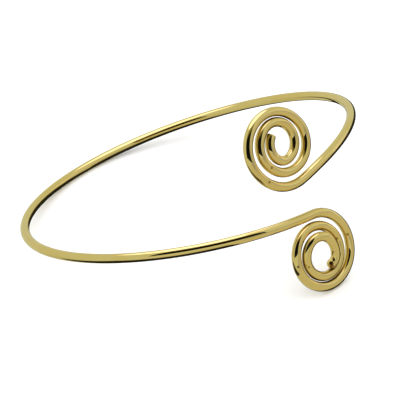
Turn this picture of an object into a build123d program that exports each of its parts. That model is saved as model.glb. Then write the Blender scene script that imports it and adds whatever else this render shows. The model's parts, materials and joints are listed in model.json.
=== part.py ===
from build123d import *
from math import cos, pi, radians, sin
from typing import NamedTuple
import os

# Upper arm bangle: one round wire, bent into a ring that is closed by two flat scrolls. All lengths in mm.

# Wire
wire_diameter = 2.5
turn_clearance = 0.1  # left between neighbouring turns of a scroll
cut_rounding = 0.25  # on the edge of the cut upper end

# Ring, round the arm
arm_diameter = 89.5  # clear width inside
ring_rise = 9.5  # upper end above the lower one, where the scrolls begin
ring_arch = 10.0  # how far the ring bows up half-way round
ring_twist = 12.0  # how far it dips before the half-way point and lifts after it
scroll_bearing = 36.5  # degrees from the front of the ring round to the scrolls
ring_bends = 20  # arcs that the ring is bent in

wire_radius = wire_diameter / 2
ring_radius = arm_diameter / 2 + wire_radius
turn_pitch = wire_diameter + turn_clearance


class Bend(NamedTuple):
    sweep: float  # degrees
    radius: float  # in turn pitches, at the middle of the wire
    lean: float = 0.0  # degrees by which the scroll tips outwards before this bend


# Both scrolls are listed from the ring inwards.
lower_bends = [
    Bend(sweep=45, radius=3.73),
    Bend(sweep=90, radius=3.59),
    Bend(sweep=90, radius=3.64),
    Bend(sweep=90, radius=2.97),
    Bend(sweep=90, radius=2.88),
    Bend(sweep=90, radius=2.54),
    Bend(sweep=90, radius=2.24),
    Bend(sweep=90, radius=2.17, lean=13),
    Bend(sweep=90, radius=1.51),
    Bend(sweep=60, radius=2.13),
    Bend(sweep=58, radius=0.87),
]
upper_bends = [
    Bend(sweep=80, radius=4.57),
    Bend(sweep=90, radius=3.38),
    Bend(sweep=90, radius=3.87),
    Bend(sweep=90, radius=2.71),
    Bend(sweep=90, radius=3.08),
    Bend(sweep=90, radius=2.34),
    Bend(sweep=90, radius=2.21),
    Bend(sweep=90, radius=1.88),
    Bend(sweep=90, radius=1.45),
    Bend(sweep=73, radius=1.68),
]


def turned(direction, turning_axis, angle):
    return direction.rotate(Axis((0, 0, 0), turning_axis), angle)


def ring_point(share):
    """Middle of the wire, a share of one turn on from the lower scroll."""
    bearing = radians(360 * share - scroll_bearing)
    crown = 4 * share * (1 - share)  # 0 at both ends and 1 half-way
    height = ring_rise * share + crown * (ring_arch + ring_twist * (2 * share - 1))
    return Vector(-ring_radius * sin(bearing), -ring_radius * cos(bearing), height)


def ring_stations():
    """Points and headings round the ring, each bend leaving its point as the last one reached it."""
    along = turned(Vector(-1, 0, 0), (0, 0, 1), scroll_bearing)
    first_slope = ring_rise + 4 * (ring_arch - ring_twist)
    heading = (along * (2 * pi * ring_radius) + Vector(0, 0, first_slope)).normalized()
    point = ring_point(0)
    stations = [(point, heading)]
    for bend in range(ring_bends):
        next_point = ring_point((bend + 1) / ring_bends)
        chord = (next_point - point).normalized()
        heading = chord * (2 * chord.dot(heading)) - heading
        point = next_point
        stations.append((point, heading))
    return stations


def scroll_stations(point, heading, bends):
    """Points and headings of a scroll that turns clockwise, seen from outside the ring."""
    inwards = Vector(-point.X, -point.Y, 0)
    turning_axis = (inwards - heading * inwards.dot(heading)).normalized()
    stations = []
    for bend in bends:
        turning_axis = turned(turning_axis, heading, -bend.lean)
        to_centre = turning_axis.cross(heading) * (bend.radius * turn_pitch)
        point = point + to_centre - turned(to_centre, turning_axis, bend.sweep)
        heading = turned(heading, turning_axis, bend.sweep)
        stations.append((point, heading))
    return stations


def resting_up(edges):
    """The direction that ends up on top when the wire rocks down over its lowest point until it is still."""
    rocks = 450
    shrink = 0.98  # each rock is this share of the one before
    first_rock = 0.25 / ring_radius  # tilt for each mm that the weight overhangs the lowest point
    probes_to_a_radius = 3  # points that may touch the ground
    length = sum(edge.length for edge in edges)
    weight_centre = sum((edge.center(CenterOf.MASS) * edge.length for edge in edges), Vector()) / length
    probes = []
    for edge in edges:
        count = round(edge.length / wire_radius * probes_to_a_radius)
        probes += [edge @ (index / count) for index in range(count)]
    up = Vector(0, 0, 1)
    for rock in range(rocks):
        lowest = min(probes, key=up.dot)
        up = (up + (lowest - weight_centre) * (first_rock * shrink**rock)).normalized()
    return up


# The wire is followed from the lower knob, round the ring, to the cut upper end.
ring = ring_stations()
lower_join, lower_heading = ring[0]
upper_join, upper_heading = ring[-1]
lower_scroll = scroll_stations(lower_join, -lower_heading, lower_bends)
upper_scroll = scroll_stations(upper_join, upper_heading, upper_bends)
stations = [(point, -heading) for point, heading in reversed(lower_scroll)] + ring + upper_scroll

with BuildLine() as bent_line:
    for (start, heading), (end, _) in zip(stations, stations[1:]):
        TangentArc(start, end, tangent=heading)

# Laid down as it rests by itself, its front towards -Y, over the middle of the floor that it covers.
up = resting_up(bent_line.edges())
rest_plane = Plane(origin=(0, 0, 0), x_dir=Vector(0, 1, 0).cross(up), z_dir=up)
resting_line = rest_plane.to_local_coords(bent_line.wire())
reach = resting_line.bounding_box()
wire_line = Pos(-reach.center().X, -reach.center().Y, wire_radius - reach.min.Z) * resting_line

with BuildPart() as bangle_wire:
    with BuildSketch(Plane(wire_line ^ 0)):
        Circle(wire_radius)
    sweep(path=wire_line)
    # cut upper end
    upper_face = bangle_wire.faces().filter_by(GeomType.PLANE).sort_by_distance(wire_line @ 1)[0]
    fillet(upper_face.edges(), cut_rounding)
    # rounded lower knob
    with Locations((wire_line ^ 0) * Rot(180, 0, 0)):
        Sphere(wire_radius, arc_size1=0)

print(f"wire length {wire_line.length:.1f}")
print(f"swept length worth of section {bangle_wire.part.volume / (pi * wire_radius**2):.1f}")

os.makedirs("parts", exist_ok=True)
bangle_wire.part.label = "bangle_wire"
export_step(bangle_wire.part, "parts/bangle_wire.step")
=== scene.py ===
import json
from math import acos, ceil, cos, pi, radians, sin

import bpy
from mathutils import Matrix, Vector, noise
from mathutils.kdtree import KDTree


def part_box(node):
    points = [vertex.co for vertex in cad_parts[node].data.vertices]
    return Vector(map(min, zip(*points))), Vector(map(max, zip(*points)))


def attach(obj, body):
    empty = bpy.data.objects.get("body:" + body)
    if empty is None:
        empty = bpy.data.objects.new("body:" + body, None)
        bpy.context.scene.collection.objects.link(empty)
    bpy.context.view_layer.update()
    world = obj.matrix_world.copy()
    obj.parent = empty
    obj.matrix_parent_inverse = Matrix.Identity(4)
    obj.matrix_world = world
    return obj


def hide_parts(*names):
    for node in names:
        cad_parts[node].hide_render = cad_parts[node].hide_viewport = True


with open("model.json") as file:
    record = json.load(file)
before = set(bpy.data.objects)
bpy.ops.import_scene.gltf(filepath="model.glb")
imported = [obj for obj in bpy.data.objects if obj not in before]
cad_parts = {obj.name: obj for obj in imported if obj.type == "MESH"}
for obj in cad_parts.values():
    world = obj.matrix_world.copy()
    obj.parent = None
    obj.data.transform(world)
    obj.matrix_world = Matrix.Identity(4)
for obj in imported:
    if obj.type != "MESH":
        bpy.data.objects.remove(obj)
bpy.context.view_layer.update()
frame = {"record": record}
mm = 0.001
print("frame loaded")

bangle = {
    "wireWidth": 2.5,  # all lengths in mm
    "turnGap": 0.1,
    "armWidth": 89.5,
    "ringRise": 9.5,
    "ringArch": 10.0,
    "ringTwist": 12.0,
    "scrollBearing": 36.5,  # degrees from the front
    "ringBends": 20,
    "cutRounding": 0.25,
    # degrees bent, radius in turns of wire, degrees leaned outwards first; from the ring inwards
    "lowerBends": [
        (45, 3.73, 0), (90, 3.59, 0), (90, 3.64, 0), (90, 2.97, 0), (90, 2.88, 0), (90, 2.54, 0),
        (90, 2.24, 0), (90, 2.17, 13), (90, 1.51, 0), (60, 2.13, 0), (58, 0.87, 0),
    ],
    "upperBends": [
        (80, 4.57, 0), (90, 3.38, 0), (90, 3.87, 0), (90, 2.71, 0), (90, 3.08, 0), (90, 2.34, 0),
        (90, 2.21, 0), (90, 1.88, 0), (90, 1.45, 0), (73, 1.68, 0),
    ],
    "sides": 48,  # round the wire
    "ringStep": 0.5,  # between cross-sections
    "scrollStep": 0.28,
    "widestScrollBend": 20.0,  # a bend of a larger radius is the ring's
    "cutSteps": 8,  # round the edge of the cut end
    "ballSteps": 16,
    "flatRings": (1, 0.8, 0.6, 0.4, 0.2, 0.05),  # shares of the cut end's flat width, to its middle
    "ballTip": (0.999, 0.02),  # the ball's last ring: how far on and how wide, shares of its radius
    "weld": 0.001,  # points nearer than this are one
    "uneven": 0.03,  # how much thinner the wire gets in places
    "unevenEvery": 7.0,
    "creviceReach": 1.4,  # from a neighbouring turn
    "sameTurn": 9.0,  # wire nearer than this along the line is the same turn
}
wireRadius = bangle["wireWidth"] / 2
ringRadius = bangle["armWidth"] / 2 + wireRadius
turnPitch = bangle["wireWidth"] + bangle["turnGap"]


def turned(direction, axis, degrees):
    return Matrix.Rotation(radians(degrees), 3, axis) @ direction


def ringPoint(share):  # a share of one turn on from the lower scroll
    bearing = radians(360 * share - bangle["scrollBearing"])
    crown = 4 * share * (1 - share)  # 0 at both ends and 1 half-way
    bow = bangle["ringArch"] + bangle["ringTwist"] * (2 * share - 1)
    height = bangle["ringRise"] * share + crown * bow
    return Vector((-ringRadius * sin(bearing), -ringRadius * cos(bearing), height))


def ringStations():  # points and headings, each bend leaving its point as the last one reached it
    firstSlope = bangle["ringRise"] + 4 * (bangle["ringArch"] - bangle["ringTwist"])
    along = turned(Vector((-1, 0, 0)), Vector((0, 0, 1)), bangle["scrollBearing"])
    heading = (along * (2 * pi * ringRadius) + Vector((0, 0, firstSlope))).normalized()
    point = ringPoint(0)
    found = [(point, heading)]
    for bend in range(bangle["ringBends"]):
        nextPoint = ringPoint((bend + 1) / bangle["ringBends"])
        chord = (nextPoint - point).normalized()
        heading = chord * (2 * chord.dot(heading)) - heading
        point = nextPoint
        found.append((point, heading))
    return found


def scrollStations(point, heading, scrollBends):
    inwards = Vector((-point.x, -point.y, 0))
    axis = (inwards - heading * inwards.dot(heading)).normalized()
    found = []
    for sweep, radius, lean in scrollBends:
        axis = turned(axis, heading, -lean)
        toCentre = axis.cross(heading) * (radius * turnPitch)
        point = point + toCentre - turned(toCentre, axis, sweep)
        heading = turned(heading, axis, sweep)
        found.append((point, heading))
    return found


def wireStations():  # from the lower knob, round the ring, to the cut upper end
    ring = ringStations()
    lower = scrollStations(ring[0][0], -ring[0][1], bangle["lowerBends"])
    upper = scrollStations(ring[-1][0], ring[-1][1], bangle["upperBends"])
    return [(point, -heading) for point, heading in reversed(lower)] + ring + upper


def restTurn():  # the record's arm mount says where the ring's own axis points at rest
    arm = next(mount for mount in frame["record"]["mounts"] if mount["name"] == "arm")
    armAxis = Vector(arm["axis"]).normalized()
    front = Vector((0, armAxis.z, -armAxis.y)).normalized()
    return Matrix((front.cross(armAxis), front, armAxis)).transposed()


def wireBends():  # each bend turns round a centre and an axis; metres
    turn = restTurn()
    stations = [(turn @ point * mm, turn @ heading) for point, heading in wireStations()]
    found = []
    for (point, heading), (end, _) in zip(stations, stations[1:]):
        chord = end - point
        sideways = chord - heading * chord.dot(heading)
        radius = chord.length_squared / (2 * sideways.length)
        found.append({
            "start": point,
            "heading": heading,
            "centre": point + sideways.normalized() * radius,
            "axis": heading.cross(sideways).normalized(),
            "angle": 2 * acos(min(1, chord.normalized().dot(heading))),
            "radius": radius,
        })
    return found


def onlyActive(piece):
    bpy.ops.object.select_all(action="DESELECT")
    piece.select_set(True)
    bpy.context.view_layer.objects.active = piece


def growEnd(centre, heading, profile):  # profile: distance on and width, from the open edge
    first, width = profile[0]
    at = first
    for nextAt, nextWidth in profile[1:]:
        bpy.ops.mesh.extrude_region_move(TRANSFORM_OT_translate={"value": heading * (nextAt - at)})
        size = nextWidth / width
        middle = centre + heading * (nextAt - first)
        bpy.ops.transform.resize(value=(size, size, size), center_override=middle)
        at, width = nextAt, nextWidth
    bpy.ops.mesh.merge(type="CENTER")


def quarterRound(radius, edge, steps):
    leans = [pi / 2 * step / steps for step in range(steps)]
    return [(edge * sin(lean), radius - edge + edge * cos(lean)) for lean in leans]


def growCutEnd(centre, heading):
    radius, rounding = wireRadius * mm, bangle["cutRounding"] * mm
    flat = [(rounding, (radius - rounding) * share) for share in bangle["flatRings"]]
    growEnd(centre, heading, quarterRound(radius, rounding, bangle["cutSteps"]) + flat)


def growBall(centre, heading):
    radius = wireRadius * mm
    on, wide = bangle["ballTip"]
    profile = quarterRound(radius, radius, bangle["ballSteps"]) + [(radius * on, radius * wide)]
    growEnd(centre, heading, profile)


def addCircle(centre, heading):
    bpy.ops.object.select_all(action="DESELECT")
    turn = heading.to_track_quat("Z", "Y").to_euler()
    bpy.ops.mesh.primitive_circle_add(
        vertices=bangle["sides"], radius=wireRadius * mm, location=centre, rotation=turn
    )
    bpy.ops.object.transform_apply(location=True, rotation=True, scale=True)
    return bpy.context.object


def splitOff(piece):  # the selected edge goes on as a piece of its own
    bpy.ops.mesh.duplicate()
    bpy.ops.mesh.separate(type="SELECTED")
    bpy.ops.object.mode_set(mode="OBJECT")
    return next(other for other in bpy.context.selected_objects if other != piece)


def spinBends():  # a piece for each bend, the cut end on the last one, and the wire's middle line
    piece = addCircle(bends[0]["start"], bends[0]["heading"])
    bpy.context.tool_settings.mesh_select_mode = (True, False, False)
    pieces = []
    line = [bends[0]["start"].copy()]
    for bend in bends:
        last = bend is bends[-1]
        centre, axis, radius = bend["centre"], bend["axis"], bend["radius"]
        angle = bend["angle"]
        if last:
            angle -= bangle["cutRounding"] * mm / radius
        onRing = radius > bangle["widestScrollBend"] * mm
        step = bangle["ringStep"] if onRing else bangle["scrollStep"]
        steps = max(2, ceil(angle * radius / (step * mm)))
        onlyActive(piece)
        bpy.ops.object.mode_set(mode="EDIT")
        bpy.ops.mesh.select_all(action="SELECT")
        bpy.ops.mesh.spin(steps=steps, angle=-angle, center=centre, axis=axis)
        pieces.append(piece)
        for index in range(steps):
            turn = Matrix.Rotation(angle * (index + 1) / steps, 3, axis)
            line.append(centre + turn @ (bend["start"] - centre))
        if last:
            growCutEnd(line[-1], Matrix.Rotation(angle, 3, axis) @ bend["heading"])
            bpy.ops.object.mode_set(mode="OBJECT")
        else:
            piece = splitOff(piece)
    return pieces, line


def closeKnob(piece):  # a ball on the open edge of the first bend
    tip, heading = bends[0]["start"], bends[0]["heading"]
    weld = bangle["weld"] * mm
    onlyActive(piece)
    bpy.ops.object.mode_set(mode="EDIT")
    bpy.ops.mesh.select_all(action="DESELECT")
    bpy.ops.object.mode_set(mode="OBJECT")
    for vertex in piece.data.vertices:
        off = vertex.co - tip
        vertex.select = abs(off.dot(heading)) < weld and off.length < wireRadius * mm + weld
    bpy.ops.object.mode_set(mode="EDIT")
    growBall(tip, -heading)
    bpy.ops.object.mode_set(mode="OBJECT")


def joinWire(pieces):
    for piece in pieces:
        piece.select_set(True)
    bpy.ops.object.join()
    wire = bpy.context.object
    wire.name = wire.data.name = "bangleWire"
    bpy.ops.object.mode_set(mode="EDIT")
    bpy.ops.mesh.select_all(action="SELECT")
    bpy.ops.mesh.remove_doubles(threshold=bangle["weld"] * mm)
    bpy.ops.mesh.normals_make_consistent(inside=False)
    bpy.ops.object.mode_set(mode="OBJECT")
    bpy.ops.object.shade_smooth()
    return wire


def boxOf(piece):
    spans = [[vertex.co[side] for vertex in piece.data.vertices] for side in range(3)]
    return Vector([min(span) for span in spans]), Vector([max(span) for span in spans])


bends = wireBends()
pieces, line = spinBends()
closeKnob(pieces[0])
wire = joinWire(pieces)
low, high = boxOf(wire)
cadLow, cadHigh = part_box("bangle_wire")
shift = (cadLow + cadHigh - low - high) / 2
wire.location = shift
bpy.ops.object.transform_apply(location=True, rotation=False, scale=False)
line = [point + shift for point in line]
print("wire bent,", len(wire.data.vertices), "vertices")
print("its box is larger than the CAD wire's, in mm, by", (high - low - cadHigh + cadLow) / mm)


def lineDirections():  # along the line and twice across it, carried on without a twist
    carried = Vector((0, 0, 1)).cross(bends[0]["heading"]).normalized()
    found = []
    for index in range(len(line)):
        before = line[max(index - 1, 0)]
        after = line[min(index + 1, len(line) - 1)]
        heading = (after - before).normalized()
        carried = (carried - heading * carried.dot(heading)).normalized()
        found.append((heading, carried, heading.cross(carried)))
    return found


def markWire():  # its length and its crevices, and the unevenness
    nearest = KDTree(len(line))
    for index, point in enumerate(line):
        nearest.insert(point, index)
    nearest.balance()
    lengths = [0.0]
    for point, nextPoint in zip(line, line[1:]):
        lengths.append(lengths[-1] + (nextPoint - point).length)
    directions = lineDirections()
    wire.data.attributes.new("straight", "FLOAT_VECTOR", "POINT")
    wire.data.attributes.new("crevice", "FLOAT", "POINT")
    straight = wire.data.attributes["straight"]
    crevice = wire.data.attributes["crevice"]
    reach = (wireRadius + bangle["creviceReach"]) * mm
    for vertex in wire.data.vertices:
        point, index, _ = nearest.find(vertex.co)
        heading, side, other = directions[index]
        off = vertex.co - point
        place = (lengths[index] + off.dot(heading), off.dot(side), off.dot(other))
        straight.data[vertex.index].vector = place
        wave = 0.5 + noise.noise(vertex.co / (bangle["unevenEvery"] * mm)) / 2
        across = off - heading * off.dot(heading)
        vertex.co -= across * (wave * bangle["uneven"] / wireRadius)
        gap = reach
        for _, near, distance in nearest.find_range(vertex.co, reach):
            if abs(lengths[near] - lengths[index]) > bangle["sameTurn"] * mm:
                gap = min(gap, distance)
        crevice.data[vertex.index].value = (reach - gap) / (bangle["creviceReach"] * mm)


markWire()
print("wire marked with its length and its crevices")


class Shade:  # wraps a socket, so that an expression on it adds its Math nodes
    def __init__(self, tree, socket=None):
        self.tree = tree
        self.socket = socket

    def node(self, kind, settings=None, sockets=None, output=0):
        made = self.tree.nodes.new("ShaderNode" + kind)
        for name, value in (settings or {}).items():
            setattr(made, name, value)
        for name, value in (sockets or {}).items():
            if isinstance(value, Shade):
                self.tree.links.new(value.socket, made.inputs[name])
            else:
                made.inputs[name].default_value = value
        return Shade(self.tree, made.outputs[output]) if made.outputs else None

    def maths(self, operation, *values):
        return self.node("Math", {"operation": operation}, dict(enumerate(values)))

    def vectors(self, operation, *values, output=0):
        return self.node("VectorMath", {"operation": operation}, dict(enumerate(values)), output)

    def __add__(self, other):
        return self.maths("ADD", self, other)

    def __rsub__(self, other):
        return self.maths("SUBTRACT", other, self)

    def __mul__(self, other):
        return self.maths("MULTIPLY", self, other)

    def __truediv__(self, other):
        return self.maths("DIVIDE", self, other)

    __radd__ = __add__
    __rmul__ = __mul__

    def dot(self, direction):
        return self.vectors("DOT_PRODUCT", self, direction, output=1)

    def size(self):
        return self.maths("ABSOLUTE", self)

    def between(self, low, high):  # 0 up to low, then smoothly to 1 at high
        sockets = {"Value": self, "From Min": low, "From Max": high}
        return self.node("MapRange", {"interpolation_type": "SMOOTHSTEP"}, sockets)

    def mixed(self, first, second):  # self is the factor; 6 and 7 are the node's colours
        return self.node("Mix", {"data_type": "RGBA"}, {0: self, 6: first, 7: second}, 2)


def newMaterial(name):
    material = bpy.data.materials.new(name)
    material.use_nodes = True
    shader = material.node_tree.nodes["Principled BSDF"]
    return material, shader, Shade(material.node_tree)


def feed(shader, sockets):
    for name, value in sockets.items():
        if isinstance(value, Shade):
            value.tree.links.new(value.socket, shader.inputs[name])
        else:
            shader.inputs[name].default_value = value


gilding = {
    "colour": (0.88, 0.70, 0.31, 1),
    "deepColour": (0.86, 0.665, 0.27, 1),
    "patchEvery": 9.0,  # mm
    "patchDetail": 3.0,
    "deepFade": (0.35, 0.7),
    # painted shade: the wire is coloured dark brown where another turn lies close, standing for the
    # shade between turns
    "creviceShadeColour": (0.22, 0.12, 0.04, 1),
    "creviceShadeFade": (0.4, 0.8),  # as it gets deeper into a crevice
    "creviceShadeLeast": 0.6,
    "creviceShadeChange": 0.6,
    "creviceShadeRoughness": 0.12,
    "roughness": 0.05,
    "roughnessChange": 0.03,
    "roughnessFade": (0.4, 0.8),
    "dull": (0.40, 0.25, 0.035, 1),
    "knobShadowBrown": (0.30, 0.13, 0.035, 1),
    "dark": (0.085, 0.025, 0.005, 1),
    # nicks on the scrolls, and a painted shadow and a painted dark reflection on the lower knob:
    # middle and size in mm, colour
    "marks": [
        ((19.9, -38.1, 34.9), 0.5, "dull"),
        ((18.8, -40.4, 32.2), 0.5, "dull"),
        ((37.4, -35.1, 10.5), 0.5, "dull"),
        ((34.4, -37.3, 11.1), 0.5, "dull"),
        ((25.9, -45.4, 9.0), 0.4, "dull"),
        ((23.1, -46.8, 10.4), 0.42, "dark"),
        # painted shadow of the next turn on the knob's lower side, then a painted dark reflection
        # in the knob's middle
        ((31.97, -42.55, 6.32), 0.8, "knobShadowBrown"),
        ((31.86, -42.39, 7.18), 0.8, "dark"),
    ],
    "markCore": 0.4,  # of its size
    # fine lines from drawing the wire: how many in a metre along it and across it
    "drawnLines": (60, 4000, 4000),
    "drawnDetail": 2.0,
    "drawnStrength": 0.04,
    "drawnDepth": 0.0001,  # metres
}


def makeGilding():
    material, shader, shade = newMaterial("goldWire")
    straight = shade.node("Attribute", {"attribute_name": "straight"}, output=1)
    crevice = shade.node("Attribute", {"attribute_name": "crevice"}, output=2)
    place = shade.node("TexCoord", output=3)
    patches = shade.node("TexNoise", sockets={
        "Vector": place,
        "Scale": 1 / (gilding["patchEvery"] * mm),
        "Detail": gilding["patchDetail"],
    })
    deep = patches.between(*gilding["deepFade"])
    colour = deep.mixed(gilding["colour"], gilding["deepColour"])
    # painted shade between close turns, patchy, and the wire is made rougher there
    creviceShade = gilding["creviceShadeLeast"] + patches * gilding["creviceShadeChange"]
    creviceShade = crevice.between(*gilding["creviceShadeFade"]) * creviceShade
    colour = creviceShade.mixed(colour, gilding["creviceShadeColour"])
    for middle, size, markColour in gilding["marks"]:
        away = place.vectors("DISTANCE", place, Vector(middle) * mm, output=1)
        mark = 1 - away.between(size * gilding["markCore"] * mm, size * mm)
        colour = mark.mixed(colour, gilding[markColour])
    stretched = straight.vectors("MULTIPLY", straight, gilding["drawnLines"])
    drawn = shade.node("TexNoise", sockets={
        "Vector": stretched, "Scale": 1.0, "Detail": gilding["drawnDetail"],
    })
    roughness = patches.between(*gilding["roughnessFade"]) * gilding["roughnessChange"]
    roughness = gilding["roughness"] + roughness + creviceShade * gilding["creviceShadeRoughness"]
    bump = shade.node("Bump", sockets={
        "Height": drawn, "Strength": gilding["drawnStrength"], "Distance": gilding["drawnDepth"],
    })
    feed(shader, {"Base Color": colour, "Metallic": 1.0, "Roughness": roughness, "Normal": bump})
    return material


wire.data.materials.append(makeGilding())
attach(wire, "root")
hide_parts("bangle_wire")
print("wire gilded")

studio = {
    "azimuth": 1.707,  # degrees; the camera stands a little left of the front
    "elevation": 30.62,
    "roll": -7.498,
    "distance": 0.632,  # metres
    "lens": 212.1,
    "aim": (0.002318, 0, 0.006148),
    "nearest": 0.01,  # that the camera sees
    "floorWidth": 6.0,
    "floorColour": (0.93, 0.93, 0.93, 1),
    "floorRoughness": 0.9,
    "floorShine": 0.1,
    "daylight": (1.0, 1.0, 1.0, 1),
    "daylightStrength": 1.4,
}


def makeCamera():
    azimuth, elevation = radians(studio["azimuth"]), radians(studio["elevation"])
    roll = radians(studio["roll"])
    level = Vector((sin(azimuth), cos(azimuth), 0))
    ahead = level * cos(elevation) - Vector((0, 0, sin(elevation)))
    right = Vector((cos(azimuth), -sin(azimuth), 0))
    up = right.cross(ahead)
    rolledRight = right * cos(roll) + up * sin(roll)
    rolledUp = up * cos(roll) - right * sin(roll)
    turn = Matrix((rolledRight, rolledUp, -ahead)).transposed().to_euler()
    place = Vector(studio["aim"]) - ahead * studio["distance"]
    bpy.ops.object.camera_add(location=place, rotation=turn)
    camera = bpy.context.object
    camera.data.lens = studio["lens"]
    camera.data.clip_start = studio["nearest"]
    bpy.context.scene.camera = camera


def makeFloor():
    bpy.ops.mesh.primitive_plane_add(size=studio["floorWidth"])
    floor = bpy.context.object
    floor.name = floor.data.name = "floor"
    material, shader, _ = newMaterial("paleFloor")
    feed(shader, {
        "Base Color": studio["floorColour"],
        "Roughness": studio["floorRoughness"],
        "Specular IOR Level": studio["floorShine"],
    })
    floor.data.materials.append(material)
    floor.visible_glossy = False


def makeDaylight():
    world = bpy.data.worlds.new("daylight")
    bpy.context.scene.world = world
    world.use_nodes = True
    background = world.node_tree.nodes["Background"]
    background.inputs["Color"].default_value = studio["daylight"]
    background.inputs["Strength"].default_value = studio["daylightStrength"]


tent = {  # what the wire mirrors
    "radius": 0.3,  # metres
    "segments": 64,
    "rings": 32,
    "level": (0.64, 0.665, 0.51, 1),
    "rightLevel": (1.26, 1.16, 1.03, 1),
    "rightFade": (0.66, 1.42),
    # azimuth and elevation faced, turn in its own plane, in degrees; half-width, half-height and
    # softness of the edge as slopes
    "panels": [
        {
            "at": (42.0, -36.1), "turn": 0, "half": (1.82, 1.09), "soft": 0.07,
            "level": (0.60, 0.58, 0.405, 1),
        },
        {
            "at": (59.5, 13.2), "turn": 6, "half": (0.78, 0.054), "soft": 0.145,
            "level": (0.26, 0.27, 0.36, 1),
        },
        {
            "at": (-87.5, -47.5), "turn": 39, "half": (0.62, 0.62), "soft": 0.25,
            "level": (0.55, 0.575, 0.425, 1),
        },
    ],
    "sideFade": (0.0, 0.1),  # a panel ends where it is seen from the side
    # round patches: a bright window overhead, and, below the bangle behind and to the right, a
    # painted shadow of the floor that the wire mirrors; fade as cosines from the middle
    "patches": [
        {"at": (189.0, 74.0), "fade": (0.865, 0.905), "level": (1.7, 1.65, 1.8, 1)},
        # painted shadow: the floor's shade below the bangle, as the wire mirrors it
        {"at": (130.0, -40.0), "fade": (0.68, 0.76), "level": (0.02, 0.02, 0.015, 1)},
    ],
}


def facing(azimuth, elevation):  # outward, right and up directions, seen from the bangle
    azimuth, elevation = radians(azimuth), radians(elevation)
    level = Vector((sin(azimuth), -cos(azimuth), 0))
    out = level * cos(elevation) + Vector((0, 0, sin(elevation)))
    right = Vector((cos(azimuth), sin(azimuth), 0))
    return out, right, -right.cross(out)


def panelMask(place, panel):
    out, right, up = facing(*panel["at"])
    tilt = radians(panel["turn"])
    halfWidth, halfHeight = panel["half"]
    soft = panel["soft"]
    depth = place.dot(out)
    across = (place.dot(right * cos(tilt) + up * sin(tilt)) / depth).size()
    upwards = (place.dot(up * cos(tilt) - right * sin(tilt)) / depth).size()
    mask = 1 - across.between(halfWidth - soft, halfWidth + soft)
    mask = mask * (1 - upwards.between(halfHeight - soft, halfHeight + soft))
    return mask * depth.between(*tent["sideFade"])


def glowing(name):
    material = bpy.data.materials.new(name)
    material.use_nodes = True
    tree = material.node_tree
    tree.nodes.clear()
    return material, Shade(tree)


def mirrorOnly(piece, material, shade, colour):  # it glows, and only the wire shows it
    glow = shade.node("Emission", sockets={"Color": colour})
    shade.node("OutputMaterial", sockets={"Surface": glow})
    piece.data.materials.append(material)
    piece.visible_camera = False
    piece.visible_diffuse = False
    piece.visible_shadow = False


def makeTent():
    bpy.ops.mesh.primitive_uv_sphere_add(
        segments=tent["segments"], ring_count=tent["rings"], radius=tent["radius"]
    )
    piece = bpy.context.object
    piece.name = piece.data.name = "lightTent"
    material, shade = glowing("tentCloth")
    place = shade.node("TexCoord", output=3)
    place = place.vectors("NORMALIZE", place)
    rightSide = place.dot((1, 0, 0)).between(*tent["rightFade"])
    colour = rightSide.mixed(tent["level"], tent["rightLevel"])
    for panel in tent["panels"]:
        colour = panelMask(place, panel).mixed(colour, panel["level"])
    for patch in tent["patches"]:
        middle = facing(*patch["at"])[0]
        colour = place.dot(middle).between(*patch["fade"]).mixed(colour, patch["level"])
    mirrorOnly(piece, material, shade, colour)


# A dark card stands in front, on the camera's side, and dark sheets on the floor are a painted
# shadow: the floor's shade under the wire, which only the wire mirrors.
# Corners in metres: low left, low right, high left, high right on the card that stands up, and
# front left, front right, back left, back right on the floor.
darkCard = {
    "corners": [
        (-0.062, -0.1022, 0.0455), (0.0656, -0.1022, 0.0455),
        (-0.094, -0.0792, 0.2835), (0.095, -0.0792, 0.2835),
    ],
    "level": (0.006, 0.006, 0.005, 1),
    "highLevel": (0.25, 0.21, 0.06, 1),
    "fade": (0.126, 0.175),  # heights
}
floorShade = {
    "lift": 0.0005,
    "level": (0.02, 0.02, 0.015, 1),
    "shadedFloor": [(-0.052, -0.062), (0.014, -0.076), (-0.052, -0.026), (0.014, -0.040)],
    "shadedFloorBehind": [(-0.024, 0.034), (0.010, 0.040), (-0.024, 0.0455), (0.010, 0.050)],
    "shadedFloorRight": [(0.010, 0.0405), (0.036, 0.0375), (0.010, 0.050), (0.036, 0.0425)],
}


def addCard(name, corners):
    bpy.ops.mesh.primitive_plane_add(size=1)
    piece = bpy.context.object
    piece.name = piece.data.name = name
    for vertex, corner in zip(piece.data.vertices, corners):
        vertex.co = corner
    material, shade = glowing(name + "Glow")
    return piece, material, shade


def makeDarkCard():
    piece, material, shade = addCard("darkCard", darkCard["corners"])
    height = shade.node("TexCoord", output=3).dot((0, 0, 1))
    colour = height.between(*darkCard["fade"]).mixed(darkCard["level"], darkCard["highLevel"])
    mirrorOnly(piece, material, shade, colour)


# painted shadow: a dark sheet on the floor that only the wire mirrors
def shadeFloor(name):
    corners = [(x, y, floorShade["lift"]) for x, y in floorShade[name]]
    piece, material, shade = addCard(name, corners)
    mirrorOnly(piece, material, shade, floorShade["level"])


makeCamera()
makeFloor()
makeDaylight()
makeTent()
makeDarkCard()
shadeFloor("shadedFloor")
shadeFloor("shadedFloorBehind")
shadeFloor("shadedFloorRight")
bpy.context.scene.view_settings.view_transform = "Standard"
print("studio set")
